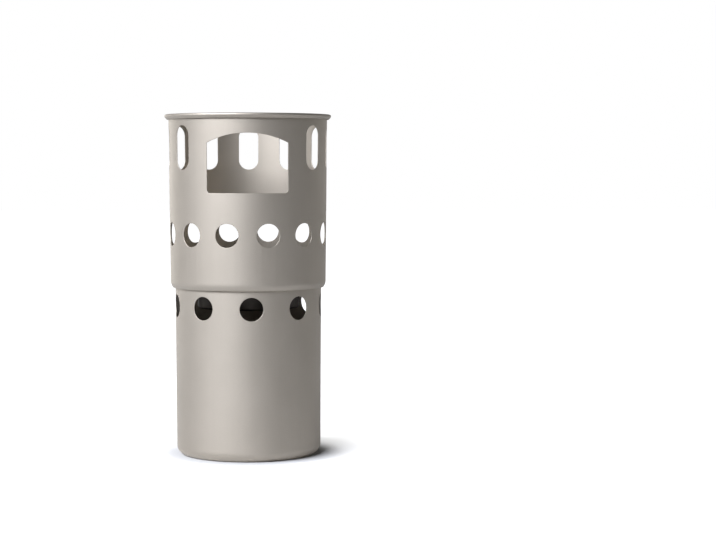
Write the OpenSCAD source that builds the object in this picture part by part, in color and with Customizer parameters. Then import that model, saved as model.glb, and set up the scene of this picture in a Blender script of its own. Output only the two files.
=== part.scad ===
// Twig stove: two stacked sheet-metal cans with a lift-out fire pan where they meet.
// The origin is the centre of the base's underside, +Z is up and the feed window faces -Y.
// Sizes are in millimetres and angles in degrees. Angles round the stove start at the window.

/* [Base can] */
// Height of the base can, whose rim carries the upper section
base_h = 100.4; // [60:0.1:140]
// Outer diameter of its rim
base_rim_d = 87.6; // [75:0.1:110]
// Outward lean of its wall
base_draft = 0.3; // [0:0.05:1.5]
// Thickness of its sheet
base_t = 0.5; // [0.3:0.05:1]
// Outer radius of the corner between its wall and its floor
base_corner_r = 5.5; // [2:0.1:12]
// Number of its air holes
base_hole_n = 9; // [4:1:12]
// Diameter of its air holes
base_hole_d = 13.8; // [6:0.1:18]
// Depth of the air holes' centres below the rim
base_hole_drop = 10.6; // [10:0.1:40]
// Turn of the air holes, from one at the front
base_hole_turn = 2.8; // [-20:0.1:20]

/* [Upper section] */
// Height from its seat on the base's rim to the top of its lip
upper_h = 103.3; // [95:0.1:140]
// How far its wall stands out past the base's rim, at the seat
upper_over = 2.7; // [2:0.1:5]
// Outward lean of its wall
upper_draft = 0.55; // [0:0.05:1.5]
// Thickness of its sheet
upper_t = 0.5; // [0.3:0.05:0.8]
// Outer radius of its rounded foot
foot_r = 6; // [3:0.1:8]
// Turn of the foot's bend, in from the wall
foot_turn = 35; // [20:1:60]
// Outer radius of the heel, the tight bend under the foot
heel_r = 0.8; // [0.8:0.05:1.5]
// Depth of the neck that plugs into the base's rim
neck_h = 3; // [2.5:0.1:8]
// Gap between the neck and the inside of the base's wall
neck_clear = 0.3; // [0.1:0.05:0.8]
// Width of the ledge inside the neck, which carries the fire pan
ledge_w = 2.8; // [1.5:0.1:5]
// Inner radius of the bends at the neck
bend_r = 0.3; // [0.1:0.05:0.6]

/* [Lip] */
// Outer radius of the curl's first, wide bend
crown_r = 2.1; // [1.5:0.1:3]
// Outer radius of the curl's edge
edge_r = 1; // [0.9:0.05:1.4]
// Angle at which the wide bend gives way to the edge, 90 being the top of the curl
crown_end = 100; // [92:1:130]
// Angle below level at which the edge ends and the tail runs in to the wall
tail_start = 40; // [30:1:75]
// Gap between the end of the tail and the wall
tail_gap = 0.8; // [0.2:0.05:1.2]

/* [Feed window] */
// Width of the window, straight across
window_w = 46.9; // [30:0.1:60]
// Height of its sill above the seat
window_sill = 56.9; // [45:0.1:62]
// Height of its straight sides
window_side_h = 29.2; // [15:0.1:31]
// Rise of its arch above the sides
window_rise = 5.7; // [2:0.1:7]
// Radius of its lower corners
window_corner_r = 2; // [0.5:0.1:6]

/* [Smoke slots] */
// Number of slots, spread evenly round the back
slot_n = 9; // [3:2:9]
// Angle between neighbouring slots
slot_pitch = 31.5; // [20:0.1:32]
// Width of a slot
slot_w = 12.1; // [5:0.1:14]
// Overall height of a slot
slot_h = 26; // [15:0.1:27]
// Height of its lower end above the seat
slot_sill = 70.4; // [60:0.1:71]

/* [Upper air holes] */
// Number of holes, two of them straddling the front
row_n = 12; // [6:2:16]
// Diameter of a hole
row_d = 13.9; // [6:0.1:16]
// Height of their centres above the seat
row_z = 32.3; // [20:0.1:40]

/* [Fire pan] */
// Overall height of the pan
pan_h = 10.4; // [5:0.1:15]
// Thickness of its sheet
pan_t = 0.5; // [0.3:0.05:0.8]
// Width of the flange it hangs by
flange_w = 11.7; // [5:0.1:15]
// Gap between its flange and the inside of the neck
pan_clear = 0.3; // [0.1:0.05:0.8]
// Outer radius of the corner between its wall and its floor
pan_corner_r = 1.5; // [0.9:0.1:3]
// Inner radius of the bend under its flange
flange_bend_r = 0.6; // [0.3:0.05:1]
// Diameter of its air holes
pan_hole_d = 7; // [3:0.1:9]
// Rings of air holes round the one in the middle
pan_rings = 2; // [1:1:2]
// Distance between the rings
pan_ring_step = 11.5; // [8:0.1:12]

/* [Hidden] */
$fn = 96;

// Straight steps in a quarter turn of a bend
bend_steps = 6;
// How far a cutter runs past the sheet on each side
cut_over = 2;
// Bare titanium, as lit, and the same metal where the fire darkens it
titanium = "#b8aea4";
fired_titanium = "#625b55";

// Outer radius of each wall at a height above its own foot
function base_out(z) = base_rim_d / 2 + (z - base_h) * tan(base_draft);
function upper_out(z) = base_rim_d / 2 + upper_over + z * tan(upper_draft);
// Inner radius of the same walls
function base_in(z) = base_out(z) - base_t / cos(base_draft);
function upper_in(z) = upper_out(z) - upper_t / cos(upper_draft);
// Points along an arc, from angle a0 to angle a1
function arc(centre, r, a0, a1) =
    let (steps = max(1, ceil(abs(a1 - a0) / 90 * bend_steps)))
    [for (i = [0 : steps]) let (a = a0 + (a1 - a0) * i / steps) centre + r * [cos(a), sin(a)]];

// Neck: it clears the base's wall at its own depth
neck_out = base_in(base_h - neck_h) - neck_clear;
neck_in = neck_out - upper_t;
ledge_in = neck_in - ledge_w;
// Foot: its bend is tangent to the wall and to the heel, which ends in the level shoulder
foot_z = heel_r + (foot_r - heel_r) * sin(foot_turn);
foot_centre = [upper_out(foot_z) - foot_r / cos(upper_draft), foot_z];
heel_centre = foot_centre + (foot_r - heel_r) * [cos(foot_turn), -sin(foot_turn)];
shoulder_centre = [neck_out + bend_r, -bend_r];
ledge_centre = [neck_in - bend_r, upper_t - neck_h + bend_r];

// Lip: the wide bend is tangent to the inside of the wall, and the edge is tangent to the wide bend
crown_z = upper_h - edge_r - (crown_r - edge_r) * sin(crown_end);
crown_centre = [upper_in(crown_z + crown_r * sin(upper_draft)) + crown_r * cos(upper_draft), crown_z];
edge_centre = crown_centre + (crown_r - edge_r) * [cos(crown_end), sin(crown_end)];
tail_way = [-sin(tail_start), -cos(tail_start)];
tail_root = [cos(tail_start), -sin(tail_start)];
tail_top = edge_centre + (edge_r - upper_t) * tail_root;
tail_l = (tail_top[0] - upper_out(tail_top[1]) - tail_gap) / sin(tail_start);

// Window: the arch is part of a circle through its sides and its top
arch_r = (pow(window_w / 2, 2) + pow(window_rise, 2)) / (2 * window_rise);
arch_z = window_side_h + window_rise - arch_r;
window_back = sqrt(pow(upper_in(window_sill), 2) - pow(window_w / 2, 2)) - cut_over;

// Fire pan: its flange lies on the ledge, inside the neck
pan_z = base_h - neck_h + upper_t + pan_t - pan_h;
flange_r = neck_in - pan_clear;
pan_out = flange_r - flange_w;
flange_centre = [pan_out + flange_bend_r, pan_h - pan_t - flange_bend_r];

// A profile turned round the stove's axis
module turned(points) {
    rotate_extrude() polygon(points);
}

// Copies of what faces -Y, evenly spaced all the way round
module all_round(count, turn) {
    for (i = [0 : count - 1]) rotate([0, 0, turn + i * 360 / count]) children();
}

// A round cutter that points out from the axis, through a wall of outer radius r at height z
module hole_cutter(r, z, d) {
    inner = sqrt(pow(r, 2) - pow(d / 2, 2)) - 2 * cut_over;
    translate([0, -inner, z]) rotate([90, 0, 0]) cylinder(d = d, h = r + cut_over - inner);
}

// A drawn cup with a row of holes under its plain rim
module base_can() {
    middle = [base_out(base_corner_r) - base_corner_r / cos(base_draft), base_corner_r];
    inside = arc(middle, base_corner_r - base_t, -90, -base_draft);
    rim = [[base_in(base_h), base_h], [base_out(base_h), base_h]];
    outside = arc(middle, base_corner_r, -base_draft, -90);
    hole_z = base_h - base_hole_drop;
    color(titanium) difference() {
        turned(concat([[0, 0], [0, base_t]], inside, rim, outside));
        all_round(base_hole_n, base_hole_turn) hole_cutter(base_out(hole_z), hole_z, base_hole_d);
    }
}

// Sheet of the upper section, from the ledge's inner edge out to the end of the lip's tail and back
module upper_shell() {
    inner_face = concat(
        [[ledge_in, upper_t - neck_h]],
        arc(ledge_centre, bend_r, -90, 0),
        arc(shoulder_centre, bend_r + upper_t, 180, 90),
        arc(heel_centre, heel_r - upper_t, -90, -foot_turn),
        arc(foot_centre, foot_r - upper_t, -foot_turn, -upper_draft),
        arc(crown_centre, crown_r, 180 - upper_draft, crown_end),
        arc(edge_centre, edge_r, crown_end, -tail_start),
        [edge_centre + edge_r * tail_root + tail_l * tail_way]
    );
    outer_face = concat(
        [tail_top + tail_l * tail_way],
        arc(edge_centre, edge_r - upper_t, -tail_start, crown_end),
        arc(crown_centre, crown_r - upper_t, crown_end, 180 - upper_draft),
        arc(foot_centre, foot_r, -upper_draft, -foot_turn),
        arc(heel_centre, heel_r, -foot_turn, -90),
        arc(shoulder_centre, bend_r, 90, 180),
        arc(ledge_centre, bend_r + upper_t, 0, -90),
        [[ledge_in, -neck_h]]
    );
    turned(concat(inner_face, outer_face));
}

// The window's outline, with its sill at 0
module window_outline() {
    tall = window_side_h + window_rise;
    sill_w = window_w - 2 * window_corner_r;
    intersection() {
        union() {
            translate([-window_w / 2, window_corner_r]) square([window_w, tall]);
            translate([-sill_w / 2, 0]) square([sill_w, tall]);
            for (side = [-1, 1]) {
                translate([side * sill_w / 2, window_corner_r]) circle(window_corner_r);
            }
        }
        translate([0, arch_z]) circle(arch_r);
    }
}

// A round-ended cutter as tall as a slot
module slot_cutter() {
    low = slot_sill + slot_w / 2;
    high = slot_sill + slot_h - slot_w / 2;
    inner = sqrt(pow(upper_in(low), 2) - pow(slot_w / 2, 2)) - cut_over;
    outer = upper_out(high) + cut_over;
    hole_cutter(upper_out(low), low, slot_w);
    hole_cutter(upper_out(high), high, slot_w);
    translate([-slot_w / 2, -outer, low]) cube([slot_w, outer - inner, high - low]);
}

// Fire chamber and pot stand in one drawn piece, open at the top and at the neck
module upper_section() {
    window_l = upper_out(upper_h) + cut_over - window_back;
    back_turn = 180 - slot_pitch * (slot_n - 1) / 2;
    color(titanium) translate([0, 0, base_h]) difference() {
        upper_shell();
        translate([0, -window_back, window_sill]) rotate([90, 0, 0]) {
            linear_extrude(window_l) window_outline();
        }
        for (i = [0 : slot_n - 1]) rotate([0, 0, back_turn + i * slot_pitch]) slot_cutter();
        all_round(row_n, 180 / row_n) hole_cutter(upper_out(row_z), row_z, row_d);
    }
}

// Perforated dish that hangs by a wide flange, holds the fuel bed and lifts out through the top
module fire_pan() {
    middle = [pan_out - pan_corner_r, pan_corner_r];
    inside = concat(
        [[0, pan_t]],
        arc(middle, pan_corner_r - pan_t, -90, 0),
        arc(flange_centre, flange_bend_r + pan_t, 180, 90),
        [[flange_r, pan_h]]
    );
    outside = concat(
        [[flange_r, pan_h - pan_t]],
        arc(flange_centre, flange_bend_r, 90, 180),
        arc(middle, pan_corner_r, 0, -90),
        [[0, 0]]
    );
    color(fired_titanium) translate([0, 0, pan_z]) difference() {
        turned(concat(inside, outside));
        for (ring = [0 : pan_rings]) {
            all_round(max(1, 6 * ring), 0) translate([0, -ring * pan_ring_step, -cut_over]) {
                cylinder(d = pan_hole_d, h = pan_t + 2 * cut_over);
            }
        }
    }
}

base_can();
upper_section();
fire_pan();
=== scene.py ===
# Twig stove: a base can, an upper section that stands on its rim, and a fire pan inside the joint.
# Sizes are in millimetres and are turned to metres where a mesh is made. The feed window faces -Y.
from math import asin, ceil, cos, pi, radians, sin, tan

import bmesh
import bpy
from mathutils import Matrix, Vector


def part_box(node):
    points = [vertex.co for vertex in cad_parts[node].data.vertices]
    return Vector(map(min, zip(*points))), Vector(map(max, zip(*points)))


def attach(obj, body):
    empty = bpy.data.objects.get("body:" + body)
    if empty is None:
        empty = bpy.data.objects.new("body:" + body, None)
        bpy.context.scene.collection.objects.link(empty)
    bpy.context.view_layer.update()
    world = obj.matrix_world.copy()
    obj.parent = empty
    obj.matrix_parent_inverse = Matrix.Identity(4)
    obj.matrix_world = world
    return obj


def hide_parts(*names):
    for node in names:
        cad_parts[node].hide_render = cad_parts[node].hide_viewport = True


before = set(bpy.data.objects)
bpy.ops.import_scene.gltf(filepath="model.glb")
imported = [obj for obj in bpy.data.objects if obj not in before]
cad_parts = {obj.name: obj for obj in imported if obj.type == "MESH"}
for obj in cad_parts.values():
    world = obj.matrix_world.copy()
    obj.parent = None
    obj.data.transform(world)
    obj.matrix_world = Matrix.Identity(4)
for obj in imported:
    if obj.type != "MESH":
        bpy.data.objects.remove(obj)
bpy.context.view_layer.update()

# Base can
# A cup drawn from one disc of titanium sheet: a flat floor, a rounded corner and a wall that leans out.
# Air holes are punched in a row under its plain rim, and the upper section stands on that rim.
MM = 0.001
base_sheet = 0.5
base_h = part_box("base_can")[1].z / MM
base_rim_r = 43.8
base_lean = radians(0.3)
base_corner_r = 5.5
base_hole_count = 9
base_hole_d = 13.8
base_hole_drop = 10.6
base_hole_turn = 2.8
base_seam = 180
# Flats round a turned piece, and the angle that one step of a bend turns through: both too fine to see
turn_steps = 240
bend_step = radians(9)
# Sides of a punched hole, and the rounding that tumbling leaves on its edges
hole_sides = 72
eased = 0.2
eased_steps = 2
# Edges that turn by more than this were sheared: they are eased, and stay sharp in the shading
sheared = radians(50)
# Length of a punch, and the spare metal that is left round a cut and trimmed off
punch_l = 20
spare = 5
# Plain wall that is turned in one with a corner, a rim or a foot
plain_end = 1
# Points closer than this are one point
weld = 0.002


def arc(centre, radius, start, end):
    """Points of a section, as (distance from the axis, height), along a bend between two angles."""
    steps = max(2, ceil(abs(end - start) / bend_step))
    angles = [start + (end - start) * i / steps for i in range(steps + 1)]
    return [(centre[0] + radius * cos(a), centre[1] + radius * sin(a)) for a in angles]


def spun(name, section):
    """Draws a section edge by edge from one vertex and spins it round the stove's axis."""
    bpy.ops.object.select_all(action="DESELECT")
    bpy.ops.mesh.primitive_plane_add(size=MM)
    piece = bpy.context.object
    piece.name = name
    corners = [Vector((r, 0, z)) * MM for r, z in section]
    bpy.ops.object.mode_set(mode="EDIT")
    bpy.ops.mesh.merge(type="CENTER")
    bpy.ops.transform.translate(value=corners[0])
    for here, there in zip(corners, corners[1:]):
        bpy.ops.mesh.extrude_region_move(TRANSFORM_OT_translate={"value": there - here})
    bpy.ops.mesh.select_all(action="SELECT")
    bpy.ops.mesh.spin(steps=turn_steps, angle=2 * pi, center=(0, 0, 0), axis=(0, 0, 1))
    bpy.ops.mesh.select_all(action="SELECT")
    bpy.ops.mesh.remove_doubles(threshold=weld * MM)
    bpy.ops.object.mode_set(mode="OBJECT")
    return piece


def joined(name, parts):
    """Makes one object of several."""
    bpy.ops.object.select_all(action="DESELECT")
    for part in parts:
        part.select_set(True)
    bpy.context.view_layer.objects.active = parts[0]
    bpy.ops.object.join()
    parts[0].name = name
    return parts[0]


def applied(piece, kind, **settings):
    """Puts a modifier on a piece and applies it."""
    modifier = piece.modifiers.new(kind.lower(), kind)
    for setting, value in settings.items():
        setattr(modifier, setting, value)
    bpy.ops.object.select_all(action="DESELECT")
    piece.select_set(True)
    bpy.context.view_layer.objects.active = piece
    bpy.ops.object.modifier_apply(modifier=modifier.name)


def pick(piece, test):
    """Selects a piece's vertices by their place, in edit mode."""
    bpy.ops.mesh.select_all(action="DESELECT")
    mesh = bmesh.from_edit_mesh(piece.data)
    for vertex in mesh.verts:
        vertex.select_set(test(vertex.co / MM))
    mesh.select_flush_mode()
    bmesh.update_edit_mesh(piece.data)


def round_punch(x, z, d):
    """A punch that cuts a round hole in a plate that lies in the XZ plane."""
    bpy.ops.mesh.primitive_cylinder_add(
        vertices=hole_sides,
        radius=d / 2 * MM,
        depth=punch_l * MM,
        location=(x * MM, 0, z * MM),
        rotation=(pi / 2, 0, 0),
    )
    bpy.ops.object.transform_apply(location=True, rotation=True, scale=True)
    return bpy.context.object


def unrolled(turn, seam, layout_r):
    """Place along the unrolled wall of what sits at an angle round the stove, left of the seam."""
    return radians((turn - seam) % 360 - 360 + seam) * layout_r


def rolled_wall(name, outer_at, low, high, sheet, seam, layout_r, punches):
    """Punches a plate, eases the punched edges, scores it into narrow strips and rolls it into a wall."""
    start = radians(seam - 360) * layout_r
    step = 2 * pi / turn_steps * layout_r
    length = turn_steps * step
    bpy.ops.object.select_all(action="DESELECT")
    bpy.ops.mesh.primitive_cube_add(
        size=1,
        location=((start + length / 2) * MM, sheet / 2 * MM, (low + high) / 2 * MM),
        scale=((length + 2 * spare) * MM, sheet * MM, (high - low + 2 * spare) * MM),
    )
    bpy.ops.object.transform_apply(location=True, rotation=True, scale=True)
    plate = bpy.context.object
    plate.name = name
    applied(plate, "BOOLEAN", operation="DIFFERENCE", solver="EXACT", object=punches)
    bpy.data.objects.remove(punches)
    applied(
        plate, "BEVEL", width=eased * MM, segments=eased_steps, limit_method="ANGLE", angle_limit=sheared
    )
    bpy.ops.object.mode_set(mode="EDIT")
    for i in range(turn_steps + 1):
        bpy.ops.mesh.select_all(action="SELECT")
        bpy.ops.mesh.bisect(
            plane_co=((start + i * step) * MM, 0, 0),
            plane_no=(1, 0, 0),
            clear_inner=i == 0,
            clear_outer=i == turn_steps,
        )
    bpy.ops.mesh.select_all(action="SELECT")
    bpy.ops.mesh.bisect(plane_co=(0, 0, low * MM), plane_no=(0, 0, 1), clear_inner=True)
    bpy.ops.mesh.select_all(action="SELECT")
    bpy.ops.mesh.bisect(plane_co=(0, 0, high * MM), plane_no=(0, 0, 1), clear_outer=True)
    # The plate's ends keep only the corners that the turned pieces also have
    def loose(p):
        strips = (p.x - start) / step
        at_end = min(abs(p.z - low), abs(p.z - high)) < weld
        return at_end and abs(strips - round(strips)) * step > weld
    pick(plate, loose)
    bpy.ops.mesh.dissolve_verts()
    bpy.ops.object.mode_set(mode="OBJECT")
    for vertex in plate.data.vertices:
        x, y, z = vertex.co / MM
        r = outer_at(z) - y
        vertex.co = Vector((r * sin(x / layout_r), -r * cos(x / layout_r), z)) * MM
    return plate


def finished(name, parts):
    """Welds a piece's parts, points its faces outwards and smooths it up to the sheared edges."""
    piece = joined(name, parts)
    bpy.ops.object.mode_set(mode="EDIT")
    bpy.ops.mesh.select_all(action="SELECT")
    bpy.ops.mesh.remove_doubles(threshold=weld * MM)
    bpy.ops.mesh.normals_make_consistent(inside=False)
    bpy.ops.object.mode_set(mode="OBJECT")
    bpy.ops.object.shade_smooth_by_angle(angle=sheared)
    applied(piece, "WEIGHTED_NORMAL", mode="FACE_AREA", weight=50, keep_sharp=True)
    return piece


def base_out(z):
    return base_rim_r + (z - base_h) * tan(base_lean)


base_wall_low = base_corner_r + plain_end
base_wall_high = base_h - plain_end
base_hole_z = base_h - base_hole_drop
base_corner = (base_out(base_corner_r) - base_corner_r / cos(base_lean), base_corner_r)
base_floor_top = spun(
    "base_floor_top",
    [(0, base_sheet)]
    + arc(base_corner, base_corner_r - base_sheet, -pi / 2, -base_lean)
    + [(base_out(base_wall_low) - base_sheet, base_wall_low)],
)
base_floor_under = spun(
    "base_floor_under",
    [(0, 0)]
    + arc(base_corner, base_corner_r, -pi / 2, -base_lean)
    + [(base_out(base_wall_low), base_wall_low)],
)
rim_in = base_out(base_h) - base_sheet
rim_out = base_out(base_h)
base_rim = spun(
    "base_rim",
    [(base_out(base_wall_high) - base_sheet, base_wall_high)]
    + arc((rim_in + eased, base_h - eased), eased, pi, pi / 2)
    + arc((rim_out - eased, base_h - eased), eased, pi / 2, 0)
    + [(base_out(base_wall_high), base_wall_high)],
)
base_layout_r = base_out(base_hole_z)
base_turns = [base_hole_turn + i * 360 / base_hole_count for i in range(base_hole_count)]
base_punches = [
    round_punch(unrolled(turn, base_seam, base_layout_r), base_hole_z, base_hole_d) for turn in base_turns
]
base_wall = rolled_wall(
    "base_wall", base_out, base_wall_low, base_wall_high, base_sheet, base_seam, base_layout_r,
    joined("base_punches", base_punches),
)
base_can = finished("base_can_drawn", [base_wall, base_floor_top, base_floor_under, base_rim])
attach(base_can, "base")
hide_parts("base_can")


# Bare titanium, bead-blasted after drawing: a warm mid-grey metal with a soft, wide sheen and no mirror.
# Blasting leaves a fine even tooth, and drawing leaves faint streaks up the wall that the tooth softens.
streak_w = 2
streak_l = 83.3
cloud_w = 25
# The tooth is drawn about four times coarser than real, so that it shows
tooth_w = 0.4
tooth_deep = 0.2
smoothest = 0.52
roughest = 0.6


def linear(hex_colour):
    """An sRGB hex colour as linear red, green, blue and alpha."""
    channels = [int(hex_colour[i : i + 2], 16) / 255 for i in (1, 3, 5)]
    return [c / 12.92 if c <= 0.04045 else ((c + 0.055) / 1.055) ** 2.4 for c in channels] + [1]


def add_node(tree, kind, inputs=None, **settings):
    """Adds a node, sets it up, and gives each named input a value or a link."""
    node = tree.nodes.new(kind)
    for setting, value in settings.items():
        setattr(node, setting, value)
    for socket, value in (inputs or {}).items():
        if isinstance(value, bpy.types.NodeSocket):
            tree.links.new(value, node.inputs[socket])
        else:
            node.inputs[socket].default_value = value
    return node


def blasted_titanium(name, tone, shade):
    material = bpy.data.materials.new(name)
    material.use_nodes = True
    tree = material.node_tree
    tree.nodes.clear()
    place = add_node(tree, "ShaderNodeTexCoord").outputs["Object"]
    # Drawing streaks, narrow and long
    per_streak = (1 / (streak_w * MM), 1 / (streak_w * MM), 1 / (streak_l * MM))
    along = add_node(tree, "ShaderNodeMapping", {"Vector": place, "Scale": per_streak})
    streaks = add_node(tree, "ShaderNodeTexNoise", {"Vector": along.outputs[0], "Scale": 1, "Detail": 3})
    # Clouding from handling
    per_cloud = 1 / (cloud_w * MM)
    clouds = add_node(tree, "ShaderNodeTexNoise", {"Vector": place, "Scale": per_cloud, "Detail": 2})
    # Blasted tooth
    per_tooth = 1 / (tooth_w * MM)
    tooth = add_node(tree, "ShaderNodeTexNoise", {"Vector": place, "Scale": per_tooth, "Detail": 2})
    mixed = add_node(
        tree,
        "ShaderNodeMath",
        {0: streaks.outputs["Fac"], 1: 0.2, 2: clouds.outputs["Fac"]},
        operation="MULTIPLY_ADD",
    )
    tint = add_node(
        tree,
        "ShaderNodeMapRange",
        {"Value": mixed.outputs[0], "From Min": 0.4, "From Max": 0.8},
    )
    colour = add_node(
        tree,
        "ShaderNodeMix",
        {"Factor": tint.outputs[0], 6: linear(shade), 7: linear(tone)},
        data_type="RGBA",
    )
    sheen = add_node(
        tree,
        "ShaderNodeMapRange",
        {
            "Value": tooth.outputs["Fac"],
            "From Min": 0.3,
            "From Max": 0.7,
            "To Min": smoothest,
            "To Max": roughest,
        },
    )
    grain = add_node(
        tree,
        "ShaderNodeBump",
        {"Height": tooth.outputs["Fac"], "Strength": 0.08, "Distance": tooth_deep * MM},
    )
    metal = add_node(
        tree,
        "ShaderNodeBsdfPrincipled",
        {
            "Base Color": colour.outputs[2],
            "Metallic": 1,
            "Roughness": sheen.outputs[0],
            "Normal": grain.outputs[0],
        },
    )
    add_node(tree, "ShaderNodeOutputMaterial", {"Surface": metal.outputs[0]})
    return material


titanium = blasted_titanium("bead_blasted_titanium", "#bab2a6", "#b6aea2")
base_can.data.materials.clear()
base_can.data.materials.append(titanium)

# Upper section
# Fire chamber and pot stand drawn in one piece: a stepped foot whose shoulder rests on the base's rim,
# a neck that plugs into it, a ledge for the fire pan, and a lip curled outwards to carry the pot.
upper_sheet = 0.5
upper_over = 2.7
upper_lean = radians(0.55)
upper_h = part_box("upper_section")[1].z / MM - base_h
foot_r = 6
foot_turn = radians(35)
heel_r = 0.8
neck_h = 3
neck_gap = 0.3
ledge_w = 2.8
neck_bend_r = 0.3
crown_r = 2.1
edge_r = 1
crown_end = radians(100)
tail_start = radians(40)
tail_gap = 0.8
# Plain wall that is turned in one with the lip
lip_end = 1.6
row_count = 12
row_d = 13.9
row_z = base_h + 32.3
slot_count = 9
slot_pitch = 31.5
slot_w = 12.1
slot_h = 26
slot_sill = base_h + 70.4
window_w = 46.9
window_sill = base_h + 56.9
window_side_h = 29.2
window_rise = 5.7
window_corner_r = 2
upper_seam = 64.5


def upper_out(z):
    return base_rim_r + upper_over + (z - base_h) * tan(upper_lean)


def raised(points):
    """Moves a section's points up from the base's rim, where the upper section's own heights start."""
    return [(r, z + base_h) for r, z in points]


neck_out = base_out(base_h - neck_h) - base_sheet - neck_gap
neck_in = neck_out - upper_sheet
ledge_in = neck_in - ledge_w
# The foot's wide bend follows the wall and ends in the heel, a tight bend that stands out past the rim
foot_z = heel_r + (foot_r - heel_r) * sin(foot_turn)
foot = (upper_out(base_h + foot_z) - foot_r / cos(upper_lean), foot_z)
heel = (foot[0] + (foot_r - heel_r) * cos(foot_turn), heel_r)
shoulder = (neck_out + neck_bend_r, -neck_bend_r)
ledge = (neck_in - neck_bend_r, upper_sheet - neck_h + neck_bend_r)
upper_wall_low = base_h + foot_z + plain_end
upper_foot = spun(
    "upper_foot",
    [(upper_out(upper_wall_low) - upper_sheet, upper_wall_low)]
    + raised(
        arc(foot, foot_r - upper_sheet, -upper_lean, -foot_turn)
        + arc(heel, heel_r - upper_sheet, -foot_turn, -pi / 2)[1:]
        + arc(shoulder, neck_bend_r + upper_sheet, pi / 2, pi)
        + arc(ledge, neck_bend_r, 0, -pi / 2)
        + arc((ledge_in + eased, upper_sheet - neck_h - eased), eased, pi / 2, pi)
        + arc((ledge_in + eased, eased - neck_h), eased, pi, 3 * pi / 2)
        + arc(ledge, neck_bend_r + upper_sheet, -pi / 2, 0)
        + arc(shoulder, neck_bend_r, pi, pi / 2)
        + arc(heel, heel_r, -pi / 2, -foot_turn)
        + arc(foot, foot_r, -foot_turn, -upper_lean)[1:]
    )
    + [(upper_out(upper_wall_low), upper_wall_low)],
)

# The lip's wide bend follows the inside of the wall, and its edge follows the wide bend
crown_z = upper_h - edge_r - (crown_r - edge_r) * sin(crown_end)
crown_wall = upper_out(base_h + crown_z + crown_r * sin(upper_lean)) - upper_sheet / cos(upper_lean)
crown = (crown_wall + crown_r * cos(upper_lean), crown_z)
edge = (crown[0] + (crown_r - edge_r) * cos(crown_end), crown[1] + (crown_r - edge_r) * sin(crown_end))
tail_top_r = edge[0] + (edge_r - upper_sheet) * cos(tail_start)
tail_top_z = edge[1] - (edge_r - upper_sheet) * sin(tail_start)
tail_l = (tail_top_r - upper_out(base_h + tail_top_z) - tail_gap) / sin(tail_start)
tail_move = (-tail_l * sin(tail_start), -tail_l * cos(tail_start))
tail_end = (edge[0] + tail_move[0], edge[1] + tail_move[1])
tail_round = (
    tail_end[0] + (edge_r - upper_sheet / 2) * cos(tail_start),
    tail_end[1] - (edge_r - upper_sheet / 2) * sin(tail_start),
)
upper_wall_high = base_h + crown_z - lip_end
upper_lip = spun(
    "upper_lip",
    [(upper_out(upper_wall_high) - upper_sheet, upper_wall_high)]
    + raised(
        arc(crown, crown_r, pi - upper_lean, crown_end)
        + arc(edge, edge_r, crown_end, -tail_start)[1:]
        + arc(tail_round, upper_sheet / 2, -tail_start, -tail_start - pi)
        + arc(edge, edge_r - upper_sheet, -tail_start, crown_end)
        + arc(crown, crown_r - upper_sheet, crown_end, pi - upper_lean)[1:]
    )
    + [(upper_out(upper_wall_high), upper_wall_high)],
)


def slot_punch(x, low, width, height):
    """A round punch whose upper half is drawn up to the slot's height."""
    punch = round_punch(x, low + width / 2, width)
    bpy.ops.object.mode_set(mode="EDIT")
    pick(punch, lambda p: p.z > low + width / 2 + weld)
    bpy.ops.transform.translate(value=(0, 0, (height - width) * MM))
    bpy.ops.object.mode_set(mode="OBJECT")
    return punch


def window_punch(layout_r):
    """A block with rounded lower corners, arched by a round bar, and spread as the wall unrolls."""
    arch_r = ((window_w / 2) ** 2 + window_rise ** 2) / (2 * window_rise)
    top = window_sill + window_side_h + window_rise
    tall = top - window_sill + spare
    bpy.ops.mesh.primitive_cube_add(
        size=1,
        location=(0, 0, (window_sill + tall / 2) * MM),
        scale=(window_w * MM, punch_l * MM, tall * MM),
    )
    bpy.ops.object.transform_apply(location=True, rotation=True, scale=True)
    punch = bpy.context.object
    bpy.ops.object.mode_set(mode="EDIT")
    bpy.ops.mesh.select_mode(type="EDGE")
    pick(punch, lambda p: False)
    mesh = bmesh.from_edit_mesh(punch.data)
    for line in mesh.edges:
        ends = [v.co / MM for v in line.verts]
        low = all(abs(p.z - window_sill) < weld for p in ends)
        line.select_set(low and abs(ends[0].x - ends[1].x) < weld)
    bmesh.update_edit_mesh(punch.data)
    bpy.ops.mesh.bevel(offset=window_corner_r * MM, segments=10, affect="EDGES")
    bpy.ops.mesh.select_mode(type="VERT")
    bpy.ops.object.mode_set(mode="OBJECT")
    bpy.ops.mesh.primitive_cylinder_add(
        vertices=360,
        radius=arch_r * MM,
        depth=(punch_l + 2 * spare) * MM,
        location=(0, 0, (top - arch_r) * MM),
        rotation=(pi / 2, 0, 0),
    )
    bar = bpy.context.object
    bpy.ops.object.transform_apply(location=True, rotation=True, scale=True)
    applied(punch, "BOOLEAN", operation="INTERSECT", solver="EXACT", object=bar)
    bpy.data.objects.remove(bar)
    for vertex in punch.data.vertices:
        vertex.co.x = asin(vertex.co.x / MM / layout_r) * layout_r * MM
    return punch


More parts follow.
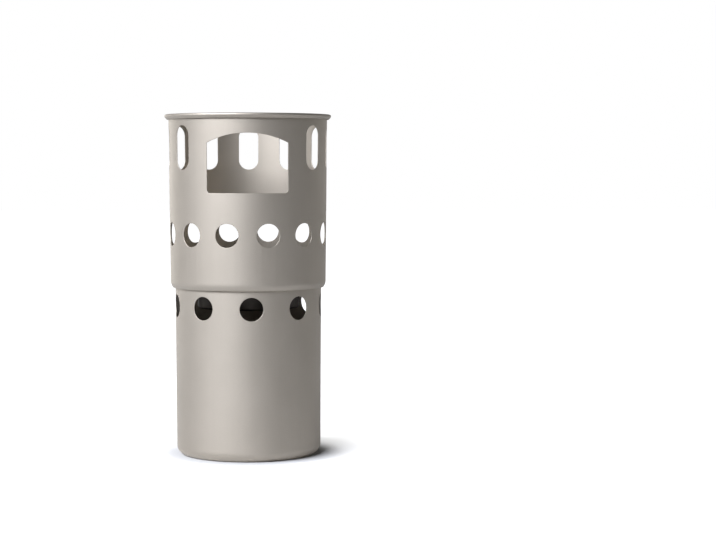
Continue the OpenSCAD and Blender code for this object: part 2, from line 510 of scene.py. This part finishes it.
upper_layout_r = upper_out((upper_wall_low + upper_wall_high) / 2)
row_turns = [(i + 0.5) * 360 / row_count for i in range(row_count)]
slot_turns = [180 + (i - (slot_count - 1) / 2) * slot_pitch for i in range(slot_count)]
upper_punches = (
    [round_punch(unrolled(turn, upper_seam, upper_layout_r), row_z, row_d) for turn in row_turns]
    + [
        slot_punch(unrolled(turn, upper_seam, upper_layout_r), slot_sill, slot_w, slot_h)
        for turn in slot_turns
    ]
    + [window_punch(upper_layout_r)]
)
upper_wall = rolled_wall(
    "upper_wall", upper_out, upper_wall_low, upper_wall_high, upper_sheet, upper_seam, upper_layout_r,
    joined("upper_punches", upper_punches),
)
upper_section = finished("upper_section_drawn", [upper_wall, upper_foot, upper_lip])
upper_section.data.materials.clear()
upper_section.data.materials.append(titanium)
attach(upper_section, "upper")
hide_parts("upper_section")

# Fire pan
# A dish of the same sheet, pierced so that air reaches the embers and ash falls through.
# It drops in from the top and hangs by its wide flange, which lies on the ledge in the neck.
pan_sheet = 0.5
flange_w = 11.7
pan_corner_r = 1.5
flange_bend_r = 0.6
pan_hole_d = 7
pan_rings = 2
pan_ring_step = 11.5
pan_hole_sides = 40
pan_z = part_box("fire_pan")[0].z / MM
pan_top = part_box("fire_pan")[1].z / MM
flange_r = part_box("fire_pan")[1].x / MM
pan_out = flange_r - flange_w
pan_floor_r = pan_out - pan_corner_r
# The floor is punched in a square blank, which a round die then trims
blank_w = 2.4 * pan_floor_r
pan_punch_l = 10
die_l = 30
die_near = 0.05
pan_corner = (pan_floor_r, pan_z + pan_corner_r)
flange_bend = (pan_out + flange_bend_r, pan_top - pan_sheet - flange_bend_r)
pan_side = spun(
    "pan_side",
    arc(pan_corner, pan_corner_r - pan_sheet, -pi / 2, 0)
    + arc(flange_bend, flange_bend_r + pan_sheet, pi, pi / 2)
    + arc((flange_r - eased, pan_top - eased), eased, pi / 2, 0)
    + arc((flange_r - eased, pan_top - pan_sheet + eased), eased, 0, -pi / 2)
    + arc(flange_bend, flange_bend_r, pi / 2, pi)
    + arc(pan_corner, pan_corner_r, 0, -pi / 2),
)
bpy.ops.object.select_all(action="DESELECT")
bpy.ops.mesh.primitive_cube_add(
    size=1,
    location=(0, 0, (pan_z + pan_sheet / 2) * MM),
    scale=(blank_w * MM, blank_w * MM, pan_sheet * MM),
)
bpy.ops.object.transform_apply(location=True, rotation=True, scale=True)
pan_floor = bpy.context.object
pan_punches = []
for ring in range(pan_rings + 1):
    count = max(1, 6 * ring)
    ring_r = ring * pan_ring_step
    for i in range(count):
        turn = 2 * pi * i / count
        bpy.ops.mesh.primitive_cylinder_add(
            vertices=pan_hole_sides,
            radius=pan_hole_d / 2 * MM,
            depth=pan_punch_l * MM,
            location=(ring_r * sin(turn) * MM, -ring_r * cos(turn) * MM, pan_z * MM),
        )
        bpy.ops.object.transform_apply(location=True, rotation=True, scale=True)
        pan_punches.append(bpy.context.object)
pan_punch = joined("pan_punches", pan_punches)
applied(pan_floor, "BOOLEAN", operation="DIFFERENCE", solver="EXACT", object=pan_punch)
bpy.data.objects.remove(pan_punch)
applied(
    pan_floor, "BEVEL", width=eased * MM, segments=eased_steps, limit_method="ANGLE", angle_limit=sheared
)
bpy.ops.mesh.primitive_cylinder_add(
    vertices=turn_steps,
    radius=pan_floor_r * MM,
    depth=die_l * MM,
    location=(0, 0, pan_z * MM),
)
pan_die = bpy.context.object
bpy.ops.object.transform_apply(location=True, rotation=True, scale=True)
applied(pan_floor, "BOOLEAN", operation="INTERSECT", solver="EXACT", object=pan_die)
bpy.data.objects.remove(pan_die)
# The trimmed edge is opened, because the side goes on from it
bpy.ops.object.mode_set(mode="EDIT")
bpy.ops.mesh.select_mode(type="FACE")
bpy.ops.mesh.select_all(action="DESELECT")
pan_mesh = bmesh.from_edit_mesh(pan_floor.data)
for face in pan_mesh.faces:
    middle = face.calc_center_median() / MM
    at_die = middle.xy.length > pan_floor_r - die_near
    face.select_set(at_die and abs(face.normal.z) < 0.1)
bmesh.update_edit_mesh(pan_floor.data)
bpy.ops.mesh.delete(type="FACE")
bpy.ops.mesh.select_mode(type="VERT")
bpy.ops.object.mode_set(mode="OBJECT")
fire_pan = finished("fire_pan_pressed", [pan_side, pan_floor])
fire_pan.data.materials.clear()
# The same metal with its colour painted darker: painted shade that stands for the dim inside of the
# stove, where the pan sits in the joint
fire_pan.data.materials.append(blasted_titanium("pan_shade_painted_titanium", "#615b55", "#59534d"))
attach(fire_pan, "pan")
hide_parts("fire_pan")

# Studio
# A white sweep in a dim room: the key is a large soft light on the front left, and the right has no lamp.
# The camera stands a little above the window and about 1.1 m away, on a long lens.
photo_w = 716
lens_px = 1845.9
sensor = 36
camera_far = 1112.5
camera_turn = radians(0.474)
camera_z = 173.3
camera_down = radians(3.239)
camera_yaw = radians(-2.929)
lens = bpy.data.cameras.new("camera")
lens.sensor_width = sensor
lens.lens = lens_px / photo_w * sensor
camera = bpy.data.objects.new("camera", lens)
camera.location = Vector((camera_far * sin(camera_turn), -camera_far * cos(camera_turn), camera_z)) * MM
camera.rotation_euler = (pi / 2 - camera_down, 0, camera_yaw)
bpy.context.scene.collection.objects.link(camera)
bpy.context.scene.camera = camera


def softbox(name, turn, up, far, width, height, watts, tint):
    """Hangs a soft light at an angle round the stove, from the camera's side to the right, and up."""
    way = Vector((cos(up) * sin(turn), -cos(up) * cos(turn), sin(up)))
    light = bpy.data.lights.new(name, "AREA")
    light.shape = "RECTANGLE"
    light.size = width * MM
    light.size_y = height * MM
    light.energy = watts
    light.color = linear(tint)[:3]
    lamp = bpy.data.objects.new(name, light)
    lamp.location = (Vector((0, 0, 100)) + way * far) * MM
    lamp.rotation_euler = way.to_track_quat("Z", "Y").to_euler()
    lamp.visible_camera = False
    bpy.context.scene.collection.objects.link(lamp)


softbox(
    "key",
    turn=radians(-46),
    up=radians(36),
    far=2600,
    width=2750,
    height=1200,
    watts=164,
    tint="#f1f5ff",
)
softbox(
    "rim",
    turn=radians(-143),
    up=radians(6),
    far=1200,
    width=500,
    height=350,
    watts=1.2,
    tint="#ffffff",
)

bpy.ops.object.select_all(action="DESELECT")
bpy.ops.mesh.primitive_plane_add(size=12)
floor = bpy.context.object
floor.name = "floor"
floor_paint = bpy.data.materials.new("white_sweep")
floor_paint.use_nodes = True
sweep = floor_paint.node_tree
sweep.nodes.clear()
floor_place = add_node(sweep, "ShaderNodeTexCoord").outputs["Object"]
# Pale paper, whose edge towards the front left lies about 0.5 m from the stove. Past it the table is dark
paper_pale = 0.6
table_dark = 0.05
paper_out = add_node(
    sweep,
    "ShaderNodeVectorMath",
    {0: floor_place, 1: (-0.42, -0.91, 0)},
    operation="DOT_PRODUCT",
)
paper_tone = add_node(
    sweep,
    "ShaderNodeMapRange",
    {
        "Value": paper_out.outputs["Value"],
        "From Min": 0.35,
        "From Max": 0.6,
        "To Min": paper_pale,
        "To Max": table_dark,
    },
)
paper = add_node(sweep, "ShaderNodeBsdfDiffuse", {"Color": paper_tone.outputs[0]})
# The camera sees a white sweep, except for the shadow close round the stove
floor_far = add_node(sweep, "ShaderNodeVectorMath", {0: floor_place}, operation="LENGTH")
floor_glow = add_node(sweep, "ShaderNodeValToRGB", {"Fac": floor_far.outputs["Value"]})
# Stops at distances in metres: black under the stove, and white from 1 m on
floor_stops = floor_glow.color_ramp.elements
floor_stops[0].position = 0.045
for far, shine in ((0.06, 0.6), (0.08, 0.92)):
    floor_stops.new(far).color = (shine, shine, shine, 1)
floor_path = add_node(sweep, "ShaderNodeLightPath")
floor_seen = add_node(
    sweep,
    "ShaderNodeMath",
    {0: floor_glow.outputs["Color"], 1: floor_path.outputs["Is Camera Ray"]},
    operation="MULTIPLY",
)
# The metal sees the paper a little paler than the lamps light it, and the table dark
paper_gleam = 0.1
paper_glow = add_node(
    sweep,
    "ShaderNodeMath",
    {0: paper_tone.outputs[0], 1: paper_gleam},
    operation="MULTIPLY",
)
floor_lift = add_node(
    sweep,
    "ShaderNodeMath",
    {0: paper_glow.outputs[0], 1: floor_path.outputs["Is Glossy Ray"], 2: floor_seen.outputs[0]},
    operation="MULTIPLY_ADD",
)
lift = add_node(sweep, "ShaderNodeEmission", {"Strength": floor_lift.outputs[0]})
both = add_node(sweep, "ShaderNodeAddShader", {0: paper.outputs[0], 1: lift.outputs[0]})
add_node(sweep, "ShaderNodeOutputMaterial", {"Surface": both.outputs[0]})
floor.data.materials.append(floor_paint)

# Behind the stove the sweep goes up as a white wall that darkens towards the top. The rest of the room is
# dim, and darker higher up, but the camera sees white all round
wall_white = 1
room_dim = 0.3
top_share = 0.08
world = bpy.data.worlds.new("studio")
world.use_nodes = True
room = world.node_tree
room.nodes.clear()
room_way = add_node(room, "ShaderNodeTexCoord").outputs["Generated"]
way = add_node(room, "ShaderNodeSeparateXYZ", {0: room_way})
behind = add_node(
    room,
    "ShaderNodeMapRange",
    {
        "Value": way.outputs["Y"],
        "From Min": 0.1,
        "From Max": 0.5,
        "To Min": room_dim,
        "To Max": wall_white,
    },
)
height = add_node(
    room,
    "ShaderNodeMapRange",
    {
        "Value": way.outputs["Z"],
        "From Min": 0.05,
        "From Max": 0.3,
        "To Min": 1,
        "To Max": top_share,
    },
)
wall = add_node(
    room,
    "ShaderNodeMath",
    {0: behind.outputs[0], 1: height.outputs[0]},
    operation="MULTIPLY",
)
path = add_node(room, "ShaderNodeLightPath")
level = add_node(
    room,
    "ShaderNodeMath",
    {0: wall.outputs[0], 1: path.outputs["Is Camera Ray"]},
    operation="MAXIMUM",
)
glow = add_node(room, "ShaderNodeBackground", {"Color": linear("#ffffff"), "Strength": level.outputs[0]})
add_node(room, "ShaderNodeOutputWorld", {"Surface": glow.outputs[0]})
bpy.context.scene.world = world

bpy.context.scene.view_settings.view_transform = "Standard"
